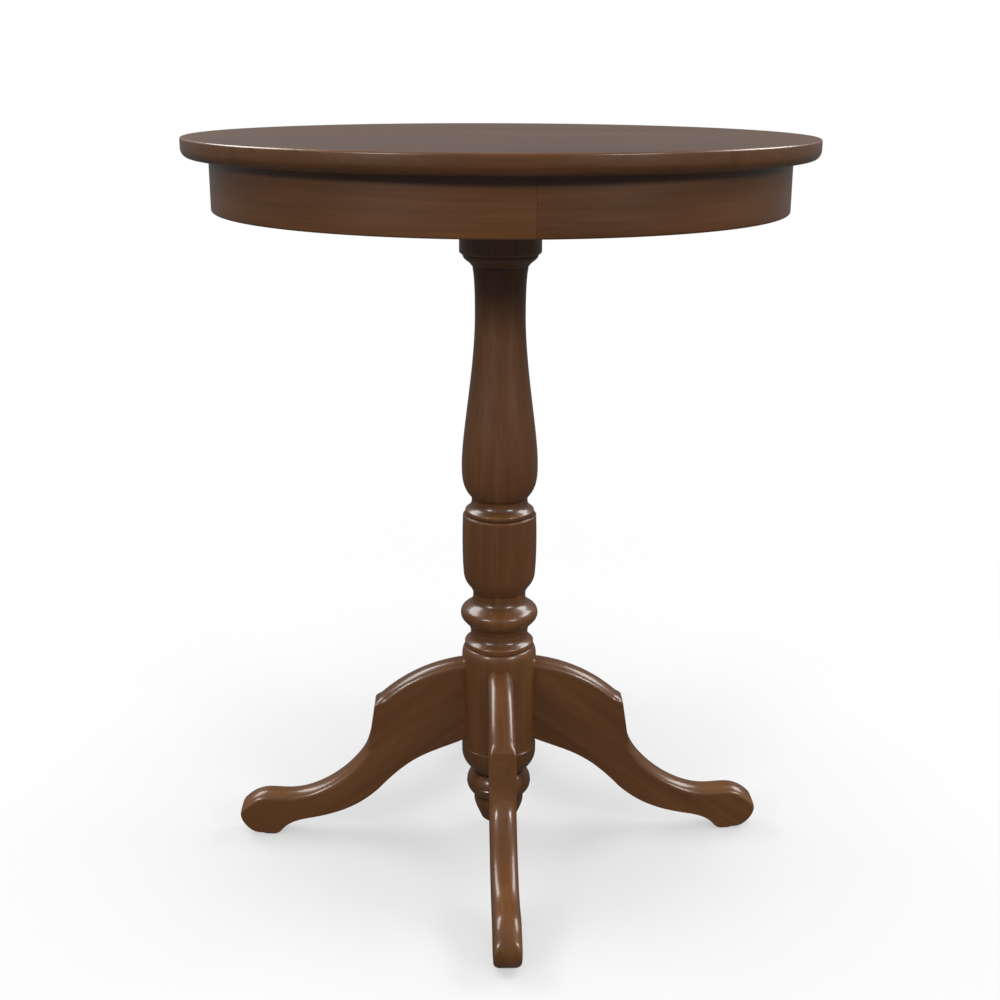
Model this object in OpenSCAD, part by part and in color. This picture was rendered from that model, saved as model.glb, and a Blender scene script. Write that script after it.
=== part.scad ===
// Round pedestal table: a turned column on four S-shaped legs, under a round top
// with a ring apron. Millimetres, +Z up, origin on the floor under the column.
// One leg points along each of +X, -X, +Y and -Y, and -Y is the front.

/* [Table] */
// Height of the table, from the floor to the top surface
table_h = 750; // [725:5:790]
// Diameter of the top
top_d = 610; // [590:5:700]
// Thickness of the top
top_t = 18; // [16:1:28]

/* [Apron ring] */
// Outer diameter of the apron ring
apron_d = 559; // [520:1:570]
// Height of the apron ring
apron_h = 51; // [45:1:60]
// Wall thickness of the apron ring
apron_t = 20; // [18:1:26]
// Angle of the first glued joint of the ring, anticlockwise from +X
apron_joint_angle = 4; // [0:1:20]

/* [Rails and blocks] */
// Width of each crossed rail
rail_w = 60; // [50:1:70]
// Height of each crossed rail
rail_h = 38; // [36:1:44]
// Width of a glue block along the apron
glue_block_w = 50; // [44:1:60]
// Height of a glue block
glue_block_h = 28; // [24:1:34]
// Depth of a glue block towards the middle of the table
glue_block_deep = 25; // [22:1:30]

/* [Column] */
// Radius of the leg block, the plain part that the legs join
block_r = 39.6; // [39:0.1:41]
// Radius of the collar at the top of the column
collar_r = 41.2; // [41:0.1:44]
// Diameter of the steel plate on the column
plate_d = 170; // [160:1:200]
// Thickness of the steel plate
plate_t = 4; // [3:0.5:6]

/* [Legs] */
// Thickness of each leg
leg_t = 27; // [24:1:30]
// Diameter of the dowels between leg and column
leg_dowel_d = 12; // [10:1:14]
// Length of the dowels between leg and column
leg_dowel_l = 50; // [40:1:54]
// Diameter of the glide under each foot
glide_d = 18; // [14:1:18]
// Thickness of the glide under each foot
glide_t = 2; // [1.5:0.5:2]

/* [Hidden] */
$fn = 72;

walnut = [0.36, 0.23, 0.13];
beech = [0.76, 0.60, 0.42];
zinc = [0.72, 0.72, 0.70];
black_steel = [0.14, 0.14, 0.15];
nylon = [0.20, 0.15, 0.12];

// How much wider a cut reaches than the face it breaks through
past = 1;

// Levels, from the top down
top_under = table_h - top_t;
apron_bottom = top_under - apron_h;
rail_bottom = top_under - rail_h;
rail_middle = top_under - rail_h / 2;
column_top = rail_bottom - plate_t;

// Apron ring
apron_r = apron_d / 2;
apron_inner_r = apron_r - apron_t;
apron_dowel_d = 8;
apron_dowel_l = 40;
apron_dowel_heights = [apron_bottom + 14, apron_bottom + 37];

// Where the blocks stand round the ring, between the ends of the rails
glue_block_angles = [30, 60, 120, 150, 210, 240, 300, 330];

// Screws: diameter and length. A head is twice as wide as its shank.
wood_screw_d = 4.5;
rail_screw_l = 36;
rail_screw_spots = [130, 215];
rail_screw_sink = 12;
plate_screw_l = 30;
plate_screw_r = 66;
plate_screw_side = 17;
column_screw_d = 6;
column_screw_l = 60;
column_screw_r = 24;
block_screw_l = 38;
block_screw_side = 12;

// Leg block, and the seats that take the legs
block_bottom = 106;
block_top = 209;
seat_r = 36.9;
finial_dowel_d = 16;
finial_dowel_l = 60;

// Foot
foot_z = glide_t;
glide_r = 254;
nail_d = 2;
nail_l = 15;
nail_head_d = 6;

// Points of a cubic curve from a to d, pulled towards b and c. The point a is left out.
function curve(a, b, c, d, steps = 10) = [
    for (i = [1:steps])
        let (t = i / steps, s = 1 - t)
        s * s * s * a + 3 * s * s * t * b + 3 * s * t * t * c + t * t * t * d
];

// Outline of a plain band with a crisp upper edge, and an ogee above it that runs into a neck
function band_and_ogee(z, band_r, neck_r, band_h, ogee_h) =
    let (edge = z + band_h, foot = [band_r - 0.5, edge + 0.8])
    concat(
        [[band_r, z], [band_r, edge - 0.6]],
        curve([band_r, edge - 0.6], [band_r, edge], [band_r - 0.2, edge + 0.3], foot, 3),
        curve(foot, [band_r - 2, edge + 2.2], [neck_r + 0.5, edge + 4],
              [neck_r, edge + ogee_h], 8)
    );

// Outline of the column, from the middle of its foot up to the plate: radius and height
column_outline = concat(
    // Leg block with a rounded shoulder
    [[0, block_bottom], [block_r - 1, block_bottom], [block_r, block_bottom + 1]],
    [[block_r, block_top]],
    curve([block_r, block_top], [block_r, 215.5], [37.9, 219.4], [35.9, 220.2], 8),
    band_and_ogee(220.6, 36.6, 30.4, 4.6, 8.6),
    // Ring
    [[30.4, 239.5], [31.1, 240.3]],
    curve([31.1, 240.3], [31.6, 246], [40.9, 249], [40.9, 256.5]),
    curve([40.9, 256.5], [40.9, 264.4], [35.8, 264.4], [30.4, 269.3]),
    curve([30.4, 269.3], [28.6, 271.2], [27.8, 273.6], [27.8, 277], 5),
    // Barrel
    [[27.8, 282.8], [29, 283.6]],
    curve([29, 283.6], [31, 289], [36.8, 291], [37.7, 302.4]),
    curve([37.7, 302.4], [38.5, 311], [38.9, 324], [38.9, 340], 6),
    curve([38.9, 340], [38.9, 350], [38.6, 358], [38.4, 365], 5),
    curve([38.4, 365], [38.4, 366], [38.1, 366.4], [37.4, 366.4], 3),
    band_and_ogee(366.8, 36, 29.2, 4.4, 9.6),
    // Vase
    [[29.2, 384.6], [29.4, 385.4]],
    curve([29.4, 385.4], [37, 393.7], [39.4, 401], [39.4, 419]),
    curve([39.4, 419], [39.4, 455], [25.6, 520], [25.6, 576], 20),
    curve([25.6, 576], [25.6, 598], [26.2, 613.8], [27.9, 621.7], 8),
    // Ovolo and collar
    [[27.9, 623.8], [29.2, 624.8]],
    curve([29.2, 624.8], [31.9, 629.5], [37.2, 630], [38, 635], 8),
    [[38, 636], [40, 636.6]],
    [[collar_r, 638], [collar_r, column_top - 1], [collar_r - 1, column_top]],
    [[0, column_top]]
);

// Outline of the turned drop under the column, from its tip up to the leg block
finial_outline = concat(
    [[0, 15.2], [17.2, 15.2]],
    curve([17.2, 15.2], [18.4, 15.2], [19, 15.8], [19.4, 17.2], 4),
    curve([19.4, 17.2], [22.2, 24], [26.3, 31.5], [26.8, 38], 8),
    [[26.8, 45.2], [27.6, 46.2]],
    curve([27.6, 46.2], [31.8, 49], [34.8, 54], [34.8, 59], 8),
    [[34.2, 60], [34.6, 61]],
    curve([34.6, 61], [34.4, 66], [31.4, 71.4], [27.4, 73.6], 8),
    [[27.4, 75]],
    curve([27.4, 75], [32, 79], [40.1, 86], [40.1, 97]),
    [[40.1, 104.6], [39.4, 105.4], [38.2, block_bottom], [0, block_bottom]]
);

// Side view of a leg: distance from the column's axis, and height
leg_knee = [133.8, 156.2];
leg_arc_centre = [17.2, 43];
leg_arc_r = 162.5;
leg_arc_start = acos((seat_r - leg_arc_centre[0]) / leg_arc_r);
leg_arc_end = atan2(leg_knee[1] - leg_arc_centre[1], leg_knee[0] - leg_arc_centre[0]);
leg_arc_steps = 16;

leg_outline = concat(
    // Underside, from the column down and out to the foot
    [[seat_r, 114.2]],
    curve([seat_r, 114.2], [76, 97.5], [93, 97.5], [131.3, 55.8], 14),
    curve([131.3, 55.8], [155, 33.3], [179, 25.2], [212, 20], 12),
    curve([212, 20], [241, 14.3], [236, 3.8], [246.5, foot_z], 10),
    // Sole and toe
    [[264.5, foot_z]],
    curve([264.5, foot_z], [273.5, foot_z + 0.8], [283, 13], [283.8, 25], 10),
    curve([283.8, 25], [283.8, 39], [268, 50.6], [252, 50.6], 12),
    // Top of the foot, and the sweep up to the knee
    curve([252, 50.6], [245, 50.6], [237, 49.4], [229, 49.4], 4),
    curve([229, 49.4], [188.9, 49.4], [144, 90.6], [139.8, 117.8], 18),
    [leg_knee],
    // Upper arc, back to the column
    [for (i = [1:leg_arc_steps])
        let (a = leg_arc_end + (leg_arc_start - leg_arc_end) * i / leg_arc_steps)
        leg_arc_centre + leg_arc_r * [cos(a), sin(a)]]
);
leg_dowel_heights = [134, 182];

// A countersunk wood screw that points up, with the flat of its head at z = 0
module wood_screw(d, length) {
    difference() {
        rotate_extrude()
            polygon([[0, 0], [d, 0], [d, 0.4], [d / 2, d / 2 + 0.4],
                     [d / 2, length - 1.5 * d], [0, length]]);
        for (turn = [0, 90])
            rotate([0, 0, turn])
                translate([0, 0, 0.2 * d])
                    cube([1.1 * d, 0.22 * d, 0.6 * d], center = true);
    }
}

// The hole for such a screw, with a straight sink of the given depth below the head
module wood_screw_hole(d, length, sink = 0) {
    gap = 0.15;
    rotate_extrude()
        polygon([[0, -sink - past], [d + gap, -sink - past], [d + gap, 0.4],
                 [d / 2 + gap, d / 2 + 0.4], [d / 2 + gap, length - 1.5 * d],
                 [0, length + 0.5]]);
}

// Places its children at every rail screw, under the rails
module at_rail_screws() {
    for (turn = [0:90:270])
        for (spot = rail_screw_spots)
            rotate([0, 0, turn])
                translate([spot, 0, rail_bottom + rail_screw_sink])
                    children();
}

// Places its children at the screws that hold the plate to the rails
module at_plate_rail_screws() {
    for (turn = [0:90:270])
        for (side = [-1, 1])
            rotate([0, 0, turn])
                translate([plate_screw_r, side * plate_screw_side, column_top])
                    children();
}

// Places its children at the screws that hold the plate to the column, pointing down
module at_plate_column_screws() {
    for (turn = [45:90:315])
        rotate([0, 0, turn])
            translate([column_screw_r, 0, rail_bottom])
                rotate([180, 0, 0])
                    children();
}

// Places its children under every glue block, pointing up into the top
module at_block_top_screws() {
    for (turn = glue_block_angles)
        rotate([0, 0, turn])
            translate([apron_inner_r - glue_block_deep / 2, -block_screw_side,
                       top_under - glue_block_h])
                children();
}

// Places its children on every glue block's inner face, pointing out into the apron
module at_block_apron_screws() {
    for (turn = glue_block_angles)
        rotate([0, 0, turn])
            translate([apron_inner_r - glue_block_deep, block_screw_side,
                       top_under - glue_block_h / 2])
                rotate([0, 90, 0])
                    children();
}

// Places its children at both dowels of every joint in the apron ring, along the ring
module at_apron_dowels() {
    for (turn = [0:90:270])
        for (level = apron_dowel_heights)
            rotate([0, 0, apron_joint_angle + turn])
                translate([apron_r - apron_t / 2, 0, level])
                    rotate([90, 0, 0])
                        children();
}

// Places its children at both dowels of one leg, along the leg that points to +X
module at_leg_dowels() {
    for (level = leg_dowel_heights)
        translate([seat_r, 0, level])
            rotate([0, 90, 0])
                children();
}

// A round stick with chamfered ends, centred on the origin
module dowel(d, length) {
    chamfer = 1;
    rotate_extrude()
        polygon([[0, -length / 2], [d / 2 - chamfer, -length / 2],
                 [d / 2, -length / 2 + chamfer], [d / 2, length / 2 - chamfer],
                 [d / 2 - chamfer, length / 2], [0, length / 2]]);
}

// The hole that takes half of a dowel on each side of a joint
module dowel_hole(d, length) {
    cylinder(d = d, h = length + 2, center = true);
}

// Round top with a small rounding above and a fuller one below
module top_panel() {
    r = top_d / 2;
    edge = 1.8;
    color(walnut)
        difference() {
            rotate_extrude()
                polygon(concat(
                    [[0, top_under], [r - 6, top_under]],
                    curve([r - 6, top_under], [r - 2.4, top_under + 0.6],
                          [r, top_under + 4.5], [r, top_under + 8.5], 6),
                    [[r, table_h - edge]],
                    [for (a = [15:15:90])
                        [r - edge + edge * cos(a), table_h - edge + edge * sin(a)]],
                    [[0, table_h]]
                ));
            at_rail_screws()
                wood_screw_hole(wood_screw_d, rail_screw_l);
            at_block_top_screws()
                wood_screw_hole(wood_screw_d, block_screw_l);
        }
}

// One quarter of the apron ring, from a glued joint to the next
module apron_segment(quarter) {
    edge = 2.5;
    color(walnut)
        difference() {
            rotate([0, 0, apron_joint_angle + 90 * quarter])
                rotate_extrude(angle = 90)
                    polygon(concat(
                        [[apron_inner_r, apron_bottom], [apron_r - edge, apron_bottom]],
                        [for (a = [-72:18:0])
                            [apron_r - edge + edge * cos(a),
                             apron_bottom + edge + edge * sin(a)]],
                        [[apron_r, top_under], [apron_inner_r, top_under]]
                    ));
            at_apron_dowels()
                dowel_hole(apron_dowel_d, apron_dowel_l);
            at_block_apron_screws()
                wood_screw_hole(wood_screw_d, block_screw_l);
        }
}

module apron_dowels() {
    color(beech)
        at_apron_dowels()
            dowel(apron_dowel_d, apron_dowel_l);
}

// A rail across the ring. Its notch, at the crossing, takes the other rail.
module rail(notch_bottom) {
    color(beech)
        difference() {
            intersection() {
                translate([-apron_inner_r, -rail_w / 2, rail_bottom])
                    cube([2 * apron_inner_r, rail_w, rail_h]);
                translate([0, 0, rail_bottom])
                    cylinder(r = apron_inner_r, h = rail_h);
            }
            translate([-rail_w / 2, -rail_w, notch_bottom])
                cube([rail_w, 2 * rail_w, rail_h / 2]);
            at_rail_screws()
                wood_screw_hole(wood_screw_d, rail_screw_l, rail_screw_sink);
            at_plate_rail_screws()
                wood_screw_hole(wood_screw_d, plate_screw_l);
        }
}

module rail_side_to_side() {
    rail(rail_middle);
}

module rail_front_to_back() {
    rotate([0, 0, 90])
        rail(rail_bottom);
}

module rail_screws() {
    color(zinc)
        at_rail_screws()
            wood_screw(wood_screw_d, rail_screw_l);
}

// A block glued and screwed into the corner between the top and the apron
module glue_block(number) {
    color(beech)
        difference() {
            intersection() {
                rotate([0, 0, glue_block_angles[number - 1]])
                    translate([apron_inner_r - glue_block_deep, -glue_block_w / 2,
                               top_under - glue_block_h])
                        cube([2 * glue_block_deep, glue_block_w, glue_block_h]);
                translate([0, 0, top_under - glue_block_h])
                    cylinder(r = apron_inner_r, h = glue_block_h);
            }
            at_block_top_screws()
                wood_screw_hole(wood_screw_d, block_screw_l);
            at_block_apron_screws()
                wood_screw_hole(wood_screw_d, block_screw_l);
        }
}

module block_top_screws() {
    color(zinc)
        at_block_top_screws()
            wood_screw(wood_screw_d, block_screw_l);
}

module block_apron_screws() {
    color(zinc)
        at_block_apron_screws()
            wood_screw(wood_screw_d, block_screw_l);
}

// Round steel plate that joins the column to the rails
module column_plate() {
    color(black_steel)
        difference() {
            translate([0, 0, column_top])
                cylinder(d = plate_d, h = plate_t);
            at_plate_rail_screws()
                wood_screw_hole(wood_screw_d, plate_screw_l);
            at_plate_column_screws()
                wood_screw_hole(column_screw_d, column_screw_l);
        }
}

module plate_rail_screws() {
    color(zinc)
        at_plate_rail_screws()
            wood_screw(wood_screw_d, plate_screw_l);
}

module plate_column_screws() {
    color(zinc)
        at_plate_column_screws()
            wood_screw(column_screw_d, column_screw_l);
}

// Turned column, with a flat seat milled into its foot for each leg
module column() {
    color(walnut)
        difference() {
            rotate_extrude()
                polygon(column_outline);
            for (turn = [0:90:270])
                rotate([0, 0, turn]) {
                    intersection() {
                        translate([seat_r, -leg_t / 2, 0])
                            cube([block_r, leg_t, table_h]);
                        rotate([90, 0, 0])
                            linear_extrude(height = 2 * leg_t, center = true)
                                polygon(leg_outline);
                    }
                    at_leg_dowels()
                        dowel_hole(leg_dowel_d, leg_dowel_l);
                }
            at_plate_column_screws()
                wood_screw_hole(column_screw_d, column_screw_l);
            translate([0, 0, block_bottom])
                dowel_hole(finial_dowel_d, finial_dowel_l);
        }
}

// Turned drop that hangs under the column, between the legs
module finial() {
    color(walnut)
        difference() {
            rotate_extrude()
                polygon(finial_outline);
            translate([0, 0, block_bottom])
                dowel_hole(finial_dowel_d, finial_dowel_l);
        }
}

module finial_dowel() {
    color(beech)
        translate([0, 0, block_bottom])
            dowel(finial_dowel_d, finial_dowel_l);
}

// A leg, turned from +X to its own side of the table
module leg(turn) {
    color(walnut)
        rotate([0, 0, turn])
            difference() {
                rotate([90, 0, 0])
                    linear_extrude(height = leg_t, center = true)
                        polygon(leg_outline);
                at_leg_dowels()
                    dowel_hole(leg_dowel_d, leg_dowel_l);
                translate([glide_r, 0, 0])
                    cylinder(d = nail_d, h = nail_l + 2);
            }
}

module leg_dowels() {
    color(beech)
        for (turn = [0:90:270])
            rotate([0, 0, turn])
                at_leg_dowels()
                    dowel(leg_dowel_d, leg_dowel_l);
}

// A glide under a foot, with a sunk hole for its nail
module foot_glide(turn) {
    color(nylon)
        rotate([0, 0, turn])
            translate([glide_r, 0, 0])
                difference() {
                    cylinder(d = glide_d, h = glide_t);
                    translate([0, 0, -past])
                        cylinder(d = nail_head_d + 0.4, h = past + 1.2);
                    cylinder(d = nail_d + 0.2, h = glide_t + past);
                }
}

module glide_nails() {
    color(zinc)
        for (turn = [0:90:270])
            rotate([0, 0, turn])
                translate([glide_r, 0, 0.4]) {
                    cylinder(d = nail_head_d, h = 0.8);
                    cylinder(d = nail_d, h = nail_l);
                }
}

top_panel();
apron_segment(0);  // apron_back_right
apron_segment(1);  // apron_back_left
apron_segment(2);  // apron_front_left
apron_segment(3);  // apron_front_right
apron_dowels();
rail_side_to_side();
rail_front_to_back();
rail_screws();
glue_block(1);  // glue_block_1
glue_block(2);  // glue_block_2
glue_block(3);  // glue_block_3
glue_block(4);  // glue_block_4
glue_block(5);  // glue_block_5
glue_block(6);  // glue_block_6
glue_block(7);  // glue_block_7
glue_block(8);  // glue_block_8
block_top_screws();
block_apron_screws();
column_plate();
plate_rail_screws();
plate_column_screws();
column();
finial();
finial_dowel();
leg(0);  // leg_right
leg(90);  // leg_back
leg(180);  // leg_left
leg(270);  // leg_front
leg_dowels();
foot_glide(0);  // foot_glide_right
foot_glide(90);  // foot_glide_back
foot_glide(180);  // foot_glide_left
foot_glide(270);  // foot_glide_front
glide_nails();
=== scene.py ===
"""Looks of a round pedestal table: dark stained wood on a turned column and four S-shaped legs.

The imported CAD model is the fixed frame. The turned, swept and sawn pieces that show are rebuilt here
as finer meshes in the same places, and the parts inside keep their CAD shape with better materials.
Lengths are in metres; an outline is written in millimetres, as in the CAD source, and scaled once.
"""
import math

import bpy
from mathutils import Matrix, Vector


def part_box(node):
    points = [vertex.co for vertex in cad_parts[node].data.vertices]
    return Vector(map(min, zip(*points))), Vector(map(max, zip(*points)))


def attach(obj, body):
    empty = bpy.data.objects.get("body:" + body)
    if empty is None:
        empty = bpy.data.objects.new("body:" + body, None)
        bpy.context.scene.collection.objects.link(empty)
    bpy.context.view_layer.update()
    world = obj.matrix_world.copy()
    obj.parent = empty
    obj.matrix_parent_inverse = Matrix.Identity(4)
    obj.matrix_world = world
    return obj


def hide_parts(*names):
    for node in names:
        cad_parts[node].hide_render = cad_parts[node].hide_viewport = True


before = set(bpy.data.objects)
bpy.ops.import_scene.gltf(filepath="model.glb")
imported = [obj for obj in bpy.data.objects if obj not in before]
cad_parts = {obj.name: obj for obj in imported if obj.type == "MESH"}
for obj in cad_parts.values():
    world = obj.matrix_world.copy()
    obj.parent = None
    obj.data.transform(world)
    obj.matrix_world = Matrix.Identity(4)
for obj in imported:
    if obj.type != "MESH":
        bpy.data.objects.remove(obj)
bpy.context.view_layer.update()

MM = 0.001
QUARTER = math.pi / 2


# ---------------------------------------------------------------- places taken from the frame

def lowest_mm(node):
    """Lowest corner of a CAD node, in millimetres."""
    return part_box(node)[0] / MM


def highest_mm(node):
    """Highest corner of a CAD node, in millimetres."""
    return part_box(node)[1] / MM


TOP_R = highest_mm("top_panel").x
TOP_Z = highest_mm("top_panel").z
TOP_UNDER = lowest_mm("top_panel").z
APRON_BOTTOM = lowest_mm("apron_front_left").z
APRON_R = -lowest_mm("apron_front_left").y
APRON_T = 20
APRON_JOINT = math.radians(4)
COLUMN_TOP = highest_mm("column").z
BLOCK_BOTTOM = lowest_mm("column").z
COLLAR_R = 41.2
BLOCK_R = 39.6
BLOCK_TOP = 209
SEAT_R = lowest_mm("leg_right").x
LEG_T = 2 * highest_mm("leg_right").y
SOLE_Z = lowest_mm("leg_right").z


# ---------------------------------------------------------------- outlines

def curve(a, b, c, d, steps=20):
    """Points of a cubic curve from a to d, pulled towards b and c. The point a is left out."""
    made = []
    for i in range(1, steps + 1):
        t = i / steps
        s = 1 - t
        weights = (s * s * s, 3 * s * s * t, 3 * s * t * t, t * t * t)
        made.append(tuple(sum(w * p[k] for w, p in zip(weights, (a, b, c, d))) for k in (0, 1)))
    return made


def arc(centre, radius, start, end, steps):
    """Points of a circle's arc between two angles in degrees, both ends in."""
    made = []
    for i in range(steps + 1):
        a = math.radians(start + (end - start) * i / steps)
        made.append((centre[0] + radius * math.cos(a), centre[1] + radius * math.sin(a)))
    return made


def even(outline, longest):
    """The outline with every stretch split so that none is longer than that."""
    made = [outline[0]]
    for a, b in zip(outline, outline[1:]):
        parts = max(1, math.ceil(math.dist(a, b) / longest))
        for i in range(1, parts + 1):
            made.append((a[0] + (b[0] - a[0]) * i / parts, a[1] + (b[1] - a[1]) * i / parts))
    return made


def band_and_ogee(z, band_r, neck_r, band_h, ogee_h):
    """A plain band with a crisp upper edge, and an ogee above it that runs into a neck."""
    edge = z + band_h
    foot = (band_r - 0.5, edge + 0.8)
    return (
        [(band_r, z), (band_r, edge - 0.6)]
        + curve((band_r, edge - 0.6), (band_r, edge), (band_r - 0.2, edge + 0.3), foot, 8)
        + curve(foot, (band_r - 2, edge + 2.2), (neck_r + 0.5, edge + 4), (neck_r, edge + ogee_h))
    )


def column_outline():
    """Radius and height of the column, from the middle of its foot up to the plate."""
    return (
        [(0, BLOCK_BOTTOM), (BLOCK_R - 1, BLOCK_BOTTOM), (BLOCK_R, BLOCK_BOTTOM + 1), (BLOCK_R, BLOCK_TOP)]
        + curve((BLOCK_R, BLOCK_TOP), (BLOCK_R, 215.5), (37.9, 219.4), (35.9, 220.2))
        + band_and_ogee(220.6, 36.6, 30.4, 4.6, 8.6)
        + [(30.4, 239.5), (31.1, 240.3)]
        + curve((31.1, 240.3), (31.6, 246), (40.9, 249), (40.9, 256.5), 24)
        + curve((40.9, 256.5), (40.9, 264.4), (35.8, 264.4), (30.4, 269.3), 24)
        + curve((30.4, 269.3), (28.6, 271.2), (27.8, 273.6), (27.8, 277), 10)
        + [(27.8, 282.8), (29, 283.6)]
        + curve((29, 283.6), (31, 289), (36.8, 291), (37.7, 302.4))
        + curve((37.7, 302.4), (38.5, 311), (38.9, 324), (38.9, 340))
        + curve((38.9, 340), (38.9, 350), (38.6, 358), (38.4, 365), 10)
        + curve((38.4, 365), (38.4, 366), (38.1, 366.4), (37.4, 366.4), 8)
        + band_and_ogee(366.8, 36, 29.2, 4.4, 9.6)
        + [(29.2, 384.6), (29.4, 385.4)]
        + curve((29.4, 385.4), (37, 393.7), (39.4, 401), (39.4, 419))
        + curve((39.4, 419), (39.4, 455), (25.6, 520), (25.6, 576), 40)
        + curve((25.6, 576), (25.6, 598), (26.2, 613.8), (27.9, 621.7))
        + [(27.9, 623.8), (29.2, 624.8)]
        + curve((29.2, 624.8), (31.9, 629.5), (37.2, 630), (38, 635), 16)
        + [(38, 636), (40, 636.6)]
        + [(COLLAR_R, 638), (COLLAR_R, COLUMN_TOP - 1), (COLLAR_R - 1, COLUMN_TOP), (0, COLUMN_TOP)]
    )


def finial_outline():
    """Radius and height of the turned drop, from its tip up to the column."""
    return (
        [(0, 15.2), (17.2, 15.2)]
        + curve((17.2, 15.2), (18.4, 15.2), (19, 15.8), (19.4, 17.2), 8)
        + curve((19.4, 17.2), (22.2, 24), (26.3, 31.5), (26.8, 38))
        + [(26.8, 45.2), (27.6, 46.2)]
        + curve((27.6, 46.2), (31.8, 49), (34.8, 54), (34.8, 59))
        + [(34.2, 60), (34.6, 61)]
        + curve((34.6, 61), (34.4, 66), (31.4, 71.4), (27.4, 73.6))
        + [(27.4, 75)]
        + curve((27.4, 75), (32, 79), (40.1, 86), (40.1, 97))
        + [(40.1, 104.6), (39.4, 105.4), (38.2, BLOCK_BOTTOM), (0, BLOCK_BOTTOM)]
    )


def top_outline():
    """Radius and height of the top, from the middle of its underside to the middle of its upper face."""
    edge = 1.8
    return (
        [(0, TOP_UNDER), (TOP_R - 6, TOP_UNDER)]
        + curve((TOP_R - 6, TOP_UNDER), (TOP_R - 2.4, TOP_UNDER + 0.6),
                (TOP_R, TOP_UNDER + 4.5), (TOP_R, TOP_UNDER + 8.5), 14)
        + arc((TOP_R - edge, TOP_Z - edge), edge, 0, 90, 8)
        + [(0, TOP_Z)]
    )


# ---------------------------------------------------------------- meshes

SHARP_ABOVE = math.radians(32)
# How far along the outline, in millimetres, a bend lightens a rubbed edge or darkens a groove with stain
# and painted shade.
WEAR_AND_SHADE_REACH = 2.5


def new_piece(name, points, faces, wear_and_shade, turn=0.0):
    """A mesh piece from points in millimetres, turned round the table's axis into its place.

    The wear values are above 0 on edges that rub, where they lighten the stain, and below 0 in grooves and
    joints, where they darken the colour: partly stain that pools there, partly painted shade in the
    creases.
    """
    mesh = bpy.data.meshes.new(name)
    mesh.from_pydata([Vector(p) * MM for p in points], [], faces)
    mesh.transform(Matrix.Rotation(turn, 4, "Z"))
    mesh.attributes.new("wear_and_shade", "FLOAT", "POINT").data.foreach_set("value", wear_and_shade)
    mesh.polygons.foreach_set("use_smooth", [True] * len(mesh.polygons))
    mesh.set_sharp_from_angle(angle=SHARP_ABOVE)
    mesh.validate()
    piece = bpy.data.objects.new(name, mesh)
    bpy.context.scene.collection.objects.link(piece)
    return piece


def bends(outline):
    """How far the outline turns outwards (above 0) or inwards (below 0) near each point."""
    turns = [0]
    for before, here, after in zip(outline, outline[1:], outline[2:]):
        a = Vector(here) - Vector(before)
        b = Vector(after) - Vector(here)
        turns.append(math.atan2(a.x * b.y - a.y * b.x, a.dot(b)))
    turns.append(0)
    made = []
    for i, here in enumerate(outline):
        total = 0
        for k in range(max(0, i - 12), min(len(outline), i + 13)):
            total += turns[k] * max(0, 1 - math.dist(here, outline[k]) / WEAR_AND_SHADE_REACH)
        made.append(max(-1, min(1, total)))
    return made


def turned(name, outline, segments):
    """A turned piece: the outline, from the axis and back to the axis, spun round it."""
    # Inward bends darken the grooves: stain that pools there, and painted shade in the creases.
    curl = bends(outline)
    points, wear_and_shade, rings = [], [], []
    for (r, z), bend in zip(outline, curl):
        if r < 1e-6:
            rings.append([len(points)] * segments)
            points.append((0, 0, z))
            wear_and_shade.append(0)
            continue
        rings.append(list(range(len(points), len(points) + segments)))
        for j in range(segments):
            a = 2 * math.pi * j / segments
            points.append((r * math.cos(a), r * math.sin(a), z))
            wear_and_shade.append(bend)
    faces = []
    for low, high in zip(rings, rings[1:]):
        for j in range(segments):
            k = (j + 1) % segments
            corners = [low[j], low[k], high[k], high[j]]
            faces.append(list(dict.fromkeys(corners)))
    return new_piece(name, points, faces, wear_and_shade)


def apron_turn(quarter):
    """The direction of the middle of a quarter of the ring."""
    return APRON_JOINT + QUARTER * quarter + QUARTER / 2


def apron_segment(name, quarter):
    """A quarter of the ring, built about +X and turned into place, with a fine chamfer at each joint."""
    outer, inner = APRON_R, APRON_R - APRON_T
    round_edge, arris, joint = 2.5, 0.8, 0.25
    section = (
        arc((outer - round_edge, APRON_BOTTOM + round_edge), round_edge, -90, 0, 8)
        + [(outer, APRON_BOTTOM + 12), (outer, APRON_BOTTOM + 30), (outer, TOP_UNDER)]
        + [(inner, TOP_UNDER), (inner, APRON_BOTTOM + 25)]
        + arc((inner + arris, APRON_BOTTOM + arris), arris, 180, 270, 4)
    )
    middle = Vector(((outer + inner) / 2, (APRON_BOTTOM + TOP_UNDER) / 2))
    half = Vector((APRON_T / 2, (TOP_UNDER - APRON_BOTTOM) / 2))
    inset = [
        (middle.x + (r - middle.x) * (1 - joint / half.x), middle.y + (z - middle.y) * (1 - joint / half.y))
        for r, z in section
    ]
    steps = 64
    ends = QUARTER / 2
    chamfer = joint / outer
    angles = [-ends, -ends + chamfer]
    angles += [-ends + 2 * ends * i / steps for i in range(1, steps)]
    angles += [ends - chamfer, ends]
    points, wear_and_shade, faces = [], [], []
    count = len(section)
    for i, a in enumerate(angles):
        at_end = i in (0, len(angles) - 1)
        for r, z in inset if at_end else section:
            points.append((r * math.cos(a), r * math.sin(a), z))
            rubbed = z < APRON_BOTTOM + round_edge
            wear_and_shade.append(-0.6 if at_end else 0.5 if rubbed else 0)
    for i in range(len(angles) - 1):
        for j in range(count):
            k = (j + 1) % count
            faces.append([i * count + j, (i + 1) * count + j, (i + 1) * count + k, i * count + k][::-1])
    faces.append(list(range(count))[::-1])
    faces.append([(len(angles) - 1) * count + j for j in range(count)])
    return new_piece(name, points, faces, wear_and_shade, apron_turn(quarter))


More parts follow.
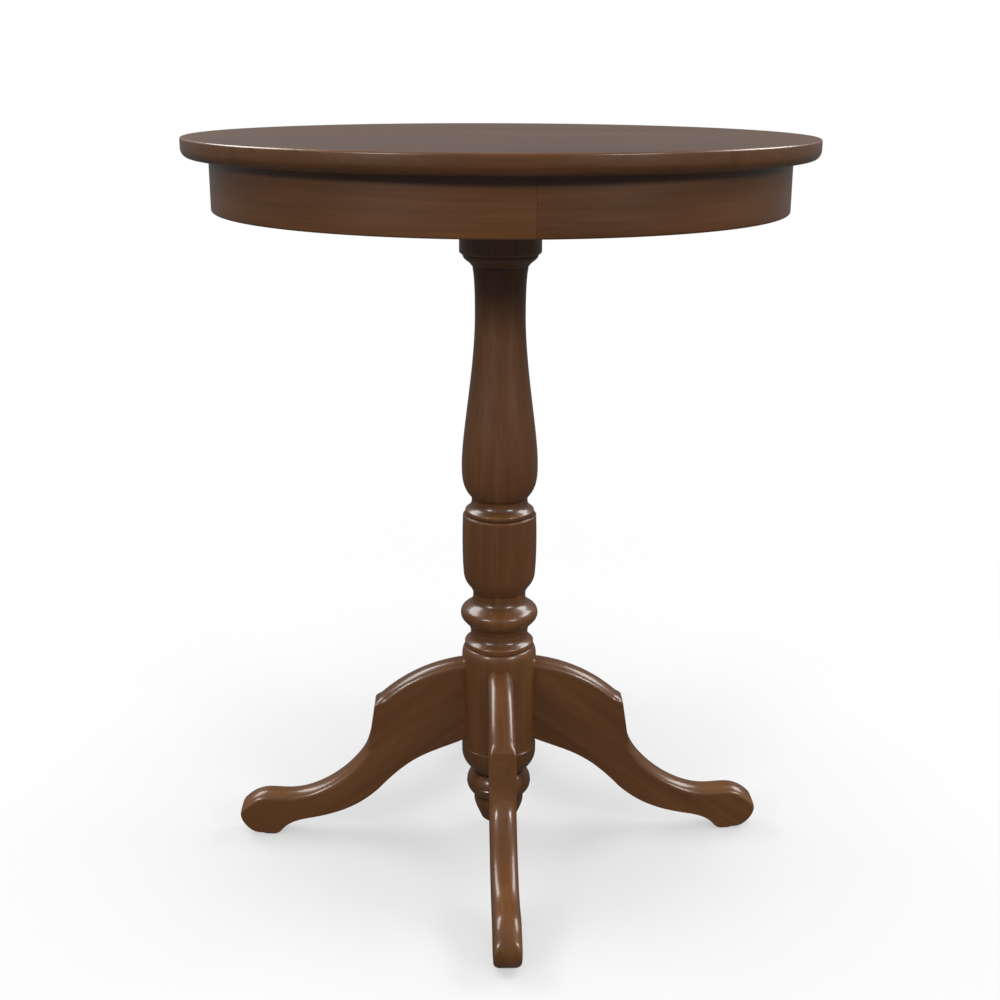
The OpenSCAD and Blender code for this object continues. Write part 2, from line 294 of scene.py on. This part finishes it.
LEG_KNEE = (133.8, 156.2)
ARRIS = 0.8
ROUNDOVER = 8.0
KNEE_ROUNDOVER = 2.6
SOLE_ROUNDOVER = 4.5
TOE_ARRIS = 2
TOE_FRONT_Z = 24
CROWN = 1.36
EDGE_STEPS = 12
RISER_FOOT = (139.8, 117.8)


def half_section(radius):
    """Half a leg's section at an edge of that depth: across, depth and wear, from the middle outwards.

    The edge is an ellipse, wider than it is deep.
    """
    flat_to = LEG_T / 2 - CROWN * radius
    rub = 0.8 - 0.5 * (radius - ARRIS) / (ROUNDOVER - ARRIS)
    made = [(flat_to - 0.6, 0, 0)]
    for i in range(EDGE_STEPS + 1):
        a = QUARTER * i / EDGE_STEPS
        across = flat_to + CROWN * radius * math.sin(a)
        made.append((across, radius * (1 - math.cos(a)), rub * math.sin(2 * a)))
    made.append((LEG_T / 2, radius + 0.8, 0))
    return made


def leg_stations():
    """The leg's side view as (point, radius of its edges), from the column's foot and back to it.

    The underside is crisp as far as the sole. The toe is rounded below, crisp in front, and rounded again
    above. That rounding runs up the sweep and out under the knee, and starts afresh at the knee itself.
    """
    under = (
        [(SEAT_R, 114.2)]
        + curve((SEAT_R, 114.2), (76, 97.5), (93, 97.5), (131.3, 55.8), 26)
        + curve((131.3, 55.8), (155, 33.3), (179, 25.2), (212, 20), 22)
        + curve((212, 20), (241, 14.3), (236, 3.8), (246.5, SOLE_Z), 16)
        + [(250, SOLE_Z), (254, SOLE_Z), (258, SOLE_Z), (264.5, SOLE_Z)]
    )
    toe = (
        curve((264.5, SOLE_Z), (273.5, SOLE_Z + 0.8), (283, 13), (283.8, 25), 18)
        + curve((283.8, 25), (283.8, 39), (268, 50.6), (252, 50.6), 22)
    )
    sweep = (
        curve((252, 50.6), (245, 50.6), (237, 49.4), (229, 49.4), 8)
        + curve((229, 49.4), (188.9, 49.4), (144, 90.6), RISER_FOOT, 32)
    )
    up = (LEG_KNEE[0] - RISER_FOOT[0], LEG_KNEE[1] - RISER_FOOT[1])
    riser = [(RISER_FOOT[0] + up[0] * t, RISER_FOOT[1] + up[1] * t) for t in (0.25, 0.5, 0.64)]
    centre, radius = (17.2, 43), 162.5
    start = math.degrees(math.atan2(LEG_KNEE[1] - centre[1], LEG_KNEE[0] - centre[0]))
    end = math.degrees(math.acos((SEAT_R - centre[0]) / radius))
    upper = arc(centre, radius, start, end, 38)

    def between(low, high, t):
        return low + (high - low) * smooth(t)

    def on_toe(z):
        if z < TOE_FRONT_Z:
            return between(TOE_ARRIS, SOLE_ROUNDOVER, (TOE_FRONT_Z - z) / 18)
        return between(TOE_ARRIS, ROUNDOVER, (z - TOE_FRONT_Z) / 20)

    made = [(p, between(ARRIS, SOLE_ROUNDOVER, (p[0] - 249) / 14)) for p in under]
    made += [(p, on_toe(p[1])) for p in toe]
    made += [(p, between(ARRIS, ROUNDOVER, (117 - p[1]) / 16)) for p in sweep]
    made += [(p, ARRIS) for p in riser]
    made += [(p, between(KNEE_ROUNDOVER, ROUNDOVER, math.dist(p, LEG_KNEE) / 11)) for p in upper]
    knee = len(under) + len(toe) + len(sweep) + len(riser)
    return made, knee


def smooth(t):
    """0 below 0, 1 above 1, and an even ease between."""
    t = max(0, min(1, t))
    return t * t * (3 - 2 * t)


def leg_inward(stations, knee):
    """The direction in which each station's depth goes: square to the outline, or along a cut face."""
    made = []
    last = len(stations) - 1
    for i, (here, _) in enumerate(stations):
        before = Vector(stations[max(0, i - 1)][0])
        after = Vector(stations[min(last, i + 1)][0])
        here = Vector(here)
        if i == knee:
            along = (after - here).normalized()
            cut = (before - here).normalized()
            made.append(cut / abs(along.x * cut.y - along.y * cut.x))
            continue
        if i in (0, last):
            along = (after - before).normalized()
            cut = Vector((0, 1 if i == 0 else -1))
            made.append(cut / abs(along.x * cut.y - along.y * cut.x))
            continue
        if i == knee - 1:
            after = here
        along = (after - before).normalized()
        made.append(Vector((-along.y, along.x)))
    return made


def leg(name, turn):
    """A leg, built towards +X and turned to its own side of the table."""
    stations, knee = leg_stations()
    inward = leg_inward(stations, knee)
    half = []
    for (here, radius), cut in zip(stations, inward):
        section = half_section(radius)
        half.append([(here[0] + cut.x * deep, y, here[1] + cut.y * deep, rub) for y, deep, rub in section])
    points, wear_and_shade, faces = [], [], []
    for row in half:
        mirrored = [(x, -y, z, rub) for x, y, z, rub in reversed(row)]
        for x, y, z, rub in mirrored + row:
            points.append((x, y, z))
            wear_and_shade.append(rub)
    across = 2 * len(half[0])
    count = len(stations)
    for i in range(count):
        k = (i + 1) % count
        for j in range(across - 1):
            faces.append([i * across + j, k * across + j, k * across + j + 1, i * across + j + 1])
    faces.append([i * across for i in range(count)][::-1])
    faces.append([i * across + across - 1 for i in range(count)])
    return new_piece(name, points, faces, wear_and_shade, turn)


# ---------------------------------------------------------------- shader nodes

def plug(tree, socket, value):
    """Puts a number, a colour or another node's output into an input."""
    if isinstance(value, bpy.types.NodeSocket):
        tree.links.new(value, socket)
    else:
        socket.default_value = value


def add(tree, kind, values, **settings):
    """A new shader node, with its inputs by name or number and its own settings."""
    made = tree.nodes.new("ShaderNode" + kind)
    for key, value in settings.items():
        setattr(made, key, value)
    for key, value in values.items():
        plug(tree, made.inputs[key], value)
    return made


def sum_of(tree, a, b):
    return add(tree, "Math", {0: a, 1: b}, operation="ADD").outputs[0]


def times(tree, a, b):
    return add(tree, "Math", {0: a, 1: b}, operation="MULTIPLY").outputs[0]


def fit(tree, value, low, high, to_low=0.0, to_high=1.0):
    """The value moved from one range to another, and held inside it."""
    made = add(tree, "MapRange", {0: value, 1: low, 2: high, 3: to_low, 4: to_high})
    return made.outputs[0]


def noise(tree, place, scales, seed, detail=3.0, rough=0.55):
    """Noise with its own scale along and across, in features per metre."""
    stretched = add(tree, "VectorMath", {0: place, 1: scales}, operation="MULTIPLY").outputs[0]
    values = {"Vector": stretched, "W": seed, "Scale": 1.0, "Detail": detail, "Roughness": rough}
    return add(tree, "TexNoise", values, noise_dimensions="4D").outputs[0]


def ramp(tree, value, stops):
    """Colours at places between 0 and 1."""
    made = add(tree, "ValToRGB", {0: value})
    elements = made.color_ramp.elements
    while len(elements) < len(stops):
        elements.new(0.5)
    for element, (place, colour) in zip(elements, stops):
        element.position = place
        element.color = (*colour, 1)
    return made.outputs[0]


def new_material(name):
    made = bpy.data.materials.new(name)
    made.use_nodes = True
    made.node_tree.nodes.clear()
    return made, made.node_tree


def finish_material(tree, **values):
    surface = add(tree, "BsdfPrincipled", {key.replace("_", " "): value for key, value in values.items()})
    output = tree.nodes.new("ShaderNodeOutputMaterial")
    tree.links.new(surface.outputs[0], output.inputs["Surface"])


# ---------------------------------------------------------------- wood

def object_place(tree, turn=0.0):
    """Object coordinates, turned back so that a piece built towards +X has its grain along it."""
    place = tree.nodes.new("ShaderNodeTexCoord").outputs["Object"]
    if not turn:
        return place
    values = {"Vector": place, "Angle": -turn}
    return add(tree, "VectorRotate", values, rotation_type="Z_AXIS").outputs[0]


def grain_across(tree, turn):
    """Grain along X."""
    return object_place(tree, turn)


def grain_up(tree, turn):
    """Grain along Z."""
    split = add(tree, "SeparateXYZ", {0: object_place(tree, turn)}).outputs
    return add(tree, "CombineXYZ", {0: split["Z"], 1: split["X"], 2: split["Y"]}).outputs[0]


def grain_round(tree, turn):
    """Grain round the Z axis."""
    split = add(tree, "SeparateXYZ", {0: object_place(tree, turn)}).outputs
    angle = add(tree, "Math", {0: split["Y"], 1: split["X"]}, operation="ARCTAN2").outputs[0]
    flat = add(tree, "CombineXYZ", {0: split["X"], 1: split["Y"]}).outputs[0]
    radius = add(tree, "VectorMath", {0: flat}, operation="LENGTH").outputs["Value"]
    round_it = times(tree, angle, APRON_R * MM)
    return add(tree, "CombineXYZ", {0: round_it, 1: split["Z"], 2: radius}).outputs[0]


def grain_down_leg(tree, turn):
    """Grain on the slant from a leg's shoulder to its foot."""
    slant = math.atan2(185, 245)
    values = {"Vector": object_place(tree, turn), "Angle": -slant}
    return add(tree, "VectorRotate", values, rotation_type="Y_AXIS").outputs[0]


def wood(name, grain, seed, tones, turn=0.0, gloss=0.38, coat=0.75, boards=None):
    """Stained and lacquered hardwood: growth figure, fibres, pores, rubbed edges, grooves darkened by stain
    and painted shade, and a satin coat.
    """
    made, tree = new_material(name)
    place = grain(tree, turn)
    if boards:
        split = add(tree, "SeparateXYZ", {0: place}).outputs
        number = add(tree, "Math", {0: times(tree, split["Y"], 1 / boards)}, operation="FLOOR").outputs[0]
        tone = add(tree, "TexWhiteNoise", {"W": number}, noise_dimensions="1D").outputs["Value"]
        steps = {0: times(tree, number, 0.37), 2: times(tree, number, 0.11)}
        shift = add(tree, "CombineXYZ", steps).outputs[0]
        place = add(tree, "VectorMath", {0: place, 1: shift}, operation="ADD").outputs[0]
    contour = noise(tree, place, (1.6, 14, 14), seed, 1.5)
    rings = add(tree, "Math", {0: times(tree, contour, 55)}, operation="SINE").outputs[0]
    fibres = noise(tree, place, (9, 330, 330), seed + 3, 5, 0.6)
    cloud = noise(tree, place, (4, 11, 11), seed + 7, 2)
    pores = fit(tree, noise(tree, place, (55, 1500, 1500), seed + 11, 2, 0.5), 0.63, 0.75)
    tint = sum_of(tree, 0.5, times(tree, rings, 0.035))
    tint = sum_of(tree, tint, times(tree, sum_of(tree, fibres, -0.5), 0.45))
    tint = sum_of(tree, tint, times(tree, sum_of(tree, cloud, -0.5), 0.45))
    if boards:
        tint = sum_of(tree, tint, times(tree, sum_of(tree, tone, -0.5), 0.14))
    tint = sum_of(tree, tint, times(tree, pores, -0.14))
    wear_and_shade = tree.nodes.new("ShaderNodeAttribute")
    wear_and_shade.attribute_name = "wear_and_shade"
    rubbed = fit(tree, wear_and_shade.outputs["Fac"], 0.05, 0.9, 0, 0.16)
    # Below 0 the value darkens grooves and joints: stain that pools there, and painted shade in the
    # creases.
    groove_stain_and_shade = fit(tree, wear_and_shade.outputs["Fac"], -0.7, -0.05, -0.36, 0)
    tint = sum_of(tree, sum_of(tree, tint, rubbed), groove_stain_and_shade)
    colour = ramp(tree, tint, [(0.05, tones[0]), (0.5, tones[1]), (0.95, tones[2])])
    streak = sum_of(tree, times(tree, fibres, 0.12), times(tree, cloud, 0.14))
    streak = sum_of(tree, streak, times(tree, pores, 0.15))
    roughness = fit(tree, streak, 0.0, 0.4, gloss - 0.07, gloss + 0.13)
    relief = sum_of(tree, times(tree, fibres, 0.6), times(tree, pores, -0.8))
    bump = add(tree, "Bump", {"Height": relief, "Strength": 0.09, "Distance": 0.00012})
    finish_material(
        tree, Base_Color=colour, Roughness=roughness, Normal=bump.outputs[0], Specular_IOR_Level=0.5,
        Coat_Weight=coat, Coat_Roughness=0.15, Coat_IOR=1.45,
    )
    return made


WALNUT = ((0.032, 0.0095, 0.0020), (0.112, 0.0410, 0.0095), (0.205, 0.088, 0.027))
# A darker copy of the walnut for the top: painted shade, so that the lit rim and top show darker.
SHADED_TOP_WALNUT = tuple(tuple(0.82 * part for part in tone) for tone in WALNUT)
RAW_BEECH = ((0.40, 0.23, 0.11), (0.60, 0.40, 0.22), (0.74, 0.55, 0.34))


# ---------------------------------------------------------------- plain materials

def metal(name, dark, light, roughness, metallic=1.0):
    """Plated or painted steel with faint mottling and fine scratches."""
    made, tree = new_material(name)
    place = object_place(tree)
    mottle = noise(tree, place, (90, 90, 90), 1.0, 4)
    fine = noise(tree, place, (2200, 300, 2200), 2.0, 2)
    colour = ramp(tree, mottle, [(0.3, dark), (0.7, light)])
    scratched = sum_of(tree, mottle, times(tree, fine, 0.4))
    rough = fit(tree, scratched, 0.4, 1.0, roughness - 0.08, roughness + 0.12)
    bump = add(tree, "Bump", {"Height": fine, "Strength": 0.2, "Distance": 0.00005})
    finish_material(tree, Base_Color=colour, Roughness=rough, Normal=bump.outputs[0], Metallic=metallic)
    return made


def nylon(name, dark, light):
    """Moulded nylon, a little scuffed."""
    made, tree = new_material(name)
    place = object_place(tree)
    grain = noise(tree, place, (1800, 1800, 1800), 1.0, 3)
    scuff = noise(tree, place, (160, 500, 160), 4.0, 3)
    colour = ramp(tree, scuff, [(0.35, dark), (0.75, light)])
    rough = fit(tree, scuff, 0.3, 0.7, 0.42, 0.62)
    bump = add(tree, "Bump", {"Height": grain, "Strength": 0.25, "Distance": 0.00006})
    finish_material(tree, Base_Color=colour, Roughness=rough, Normal=bump.outputs[0])
    return made


# ---------------------------------------------------------------- the object

def place_piece(piece, node, material):
    """Puts a finished piece in the frame, in the place of its CAD node."""
    piece.data.materials.clear()
    piece.data.materials.append(material)
    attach(piece, "root")
    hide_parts(node)


def dress(node, material):
    """Gives a CAD node a better material and leaves its mesh as it is."""
    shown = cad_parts[node]
    if not shown.material_slots:
        shown.data.materials.append(material)
    for slot in shown.material_slots:
        slot.material = material


# The top takes the darker copy of walnut, which is painted shade.
top = turned("top", even(top_outline(), 12), 256)
place_piece(top, "top_panel", wood("top_wood", grain_across, 2.0, SHADED_TOP_WALNUT, boards=0.102))

column = turned("turned_column", even(column_outline(), 2.5), 144)
place_piece(column, "column", wood("column_wood", grain_up, 5.0, WALNUT))

drop = turned("turned_drop", even(finial_outline(), 2.5), 144)
place_piece(drop, "finial", wood("drop_wood", grain_up, 9.0, WALNUT))

for quarter, corner in enumerate(("back_right", "back_left", "front_left", "front_right")):
    segment = apron_segment("apron_segment_" + corner, quarter)
    finish = wood("apron_wood_" + corner, grain_round, 14.0 + 3 * quarter, WALNUT, apron_turn(quarter))
    place_piece(segment, "apron_" + corner, finish)

for quarter, side in enumerate(("right", "back", "left", "front")):
    turn = QUARTER * quarter
    made_leg = leg("sawn_leg_" + side, turn)
    finish = wood("leg_wood_" + side, grain_down_leg, 31.0 + 3 * quarter, WALNUT, turn)
    place_piece(made_leg, "leg_" + side, finish)

beech_along_x = wood("raw_beech_along_x", grain_across, 50.0, RAW_BEECH, gloss=0.6, coat=0.0)
beech_upright = wood("raw_beech_upright", grain_up, 53.0, RAW_BEECH, gloss=0.6, coat=0.0)
zinc = metal("zinc_plate", (0.42, 0.42, 0.40), (0.66, 0.66, 0.62), 0.36)
black_paint = metal("black_paint", (0.010, 0.010, 0.011), (0.022, 0.022, 0.024), 0.5, 0.0)
dark_nylon = nylon("dark_nylon", (0.020, 0.013, 0.009), (0.045, 0.030, 0.021))

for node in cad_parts:
    if node.startswith(("rail_side", "rail_front", "glue_block", "apron_dowels", "leg_dowels")):
        dress(node, beech_along_x)
    elif node == "finial_dowel":
        dress(node, beech_upright)
    elif node.endswith(("_screws", "_nails")):
        dress(node, zinc)
    elif node == "column_plate":
        dress(node, black_paint)
    elif node.startswith("foot_glide"):
        dress(node, dark_nylon)


# ---------------------------------------------------------------- floor, light and camera

def studio_floor():
    """A wide pale floor that fades into the white backdrop.

    It throws less light back on the object than it shows, and from below it lets the view through.
    """
    reach_m = 60
    corners = [(x * reach_m, y * reach_m, 0) for x, y in ((-1, -1), (1, -1), (1, 1), (-1, 1))]
    mesh = bpy.data.meshes.new("floor")
    mesh.from_pydata(corners, [], [(0, 1, 2, 3)])
    made = bpy.data.objects.new("floor", mesh)
    bpy.context.scene.collection.objects.link(made)
    material, tree = new_material("pale_floor")
    seen = tree.nodes.new("ShaderNodeLightPath").outputs["Is Camera Ray"]
    glow = add(tree, "Emission", {"Color": (1, 1, 1, 1), "Strength": 0.49})
    paint = add(tree, "BsdfDiffuse", {"Color": (0.28, 0.28, 0.28, 1)})
    shown = add(tree, "AddShader", {0: paint.outputs[0], 1: glow.outputs[0]})
    dim = add(tree, "BsdfDiffuse", {"Color": (0.30, 0.29, 0.28, 1)})
    lit = add(tree, "MixShader", {0: seen, 1: dim.outputs[0], 2: shown.outputs[0]})
    clear = tree.nodes.new("ShaderNodeBsdfTransparent")
    reach = add(tree, "VectorMath", {0: object_place(tree)}, operation="LENGTH").outputs["Value"]
    far = fit(tree, reach, 0.6, 1.3)
    back = tree.nodes.new("ShaderNodeNewGeometry").outputs["Backfacing"]
    hidden = add(tree, "Math", {0: far, 1: back}, operation="MAXIMUM").outputs[0]
    mixed = add(tree, "MixShader", {0: hidden, 1: lit.outputs[0], 2: clear.outputs[0]})
    output = tree.nodes.new("ShaderNodeOutputMaterial")
    tree.links.new(mixed.outputs[0], output.inputs["Surface"])
    mesh.materials.append(material)
    made.visible_glossy = False


def softbox(name, azimuth, elevation, distance, size, power, shines=True):
    """A rectangular light that faces the table and isn't seen by the camera.

    Azimuth is in degrees from the front towards the right, and elevation is above the table's middle.
    One that doesn't shine lights the wood, and isn't mirrored in its lacquer.
    """
    middle = Vector((0, 0, 0.4))
    a, e = math.radians(azimuth), math.radians(elevation)
    place = middle + distance * Vector((math.cos(e) * math.sin(a), -math.cos(e) * math.cos(a), math.sin(e)))
    data = bpy.data.lights.new(name, "AREA")
    data.shape = "RECTANGLE"
    data.size, data.size_y = size
    data.energy = power
    made = bpy.data.objects.new(name, data)
    made.location = place
    made.rotation_euler = (middle - place).to_track_quat("-Z", "Y").to_euler()
    made.visible_camera = False
    made.visible_glossy = shines
    bpy.context.scene.collection.objects.link(made)


def greys(stops):
    """Ramp stops in grey, from pairs of a place and a level."""
    return [(place, (level, level, level)) for place, level in stops]


def studio_world():
    """White behind the object, a soft sky for its light, and a dim room in its shine."""
    world = bpy.data.worlds.new("studio")
    world.use_nodes = True
    tree = world.node_tree
    tree.nodes.clear()
    way = add(tree, "SeparateXYZ", {0: tree.nodes.new("ShaderNodeTexCoord").outputs["Generated"]}).outputs
    height = fit(tree, way["Z"], -1, 1)
    sky = ramp(tree, height, greys([(0.50, 0.06), (0.60, 0.16), (0.80, 0.60), (1.0, 0.78)]))
    room = ramp(tree, height, greys([(0.30, 0.06), (0.55, 0.17), (0.75, 0.10), (1.0, 0.10)]))
    rays = tree.nodes.new("ShaderNodeLightPath").outputs
    white = add(tree, "Background", {"Color": (1, 1, 1, 1), "Strength": 1.0})
    light = add(tree, "Background", {"Color": sky, "Strength": 1.0})
    shine = add(tree, "Background", {"Color": room, "Strength": 1.0})
    unseen = add(tree, "MixShader", {0: rays["Is Glossy Ray"], 1: light.outputs[0], 2: shine.outputs[0]})
    mixed = add(tree, "MixShader", {0: rays["Is Camera Ray"], 1: unseen.outputs[0], 2: white.outputs[0]})
    output = tree.nodes.new("ShaderNodeOutputWorld")
    tree.links.new(mixed.outputs[0], output.inputs["Surface"])
    bpy.context.scene.world = world


studio_floor()
studio_world()
softbox("softbox_side_left", -122, 42, 2.6, (2.0, 0.9), 40)
softbox("softbox_side_right", 110, 38, 2.6, (1.8, 0.8), 38)
softbox("softbox_front_left", -42, 25, 3.0, (0.9, 0.4), 25)
softbox("softbox_front_right", 42, 25, 3.0, (0.9, 0.4), 24)
softbox("softbox_front", 0, 27, 3.2, (2.4, 0.35), 14, shines=False)
softbox("softbox_above", 0, 83, 2.8, (1.4, 1.4), 42, shines=False)

CAMERA_PLACE = (-0.0488, -1.4402, 0.814)
CAMERA_PAN = -1.956
CAMERA_DOWN = 16.73
CAMERA_ROLL = 0.22

camera_data = bpy.data.cameras.new("camera")
camera_data.lens = 51.98
camera_data.sensor_width = 36
camera = bpy.data.objects.new("camera", camera_data)
camera.matrix_world = (
    Matrix.Translation(CAMERA_PLACE)
    @ Matrix.Rotation(math.radians(CAMERA_PAN), 4, "Z")
    @ Matrix.Rotation(math.radians(90 - CAMERA_DOWN), 4, "X")
    @ Matrix.Rotation(math.radians(CAMERA_ROLL), 4, "Z")
)
bpy.context.scene.collection.objects.link(camera)
bpy.context.scene.camera = camera
bpy.context.scene.view_settings.view_transform = "Standard"
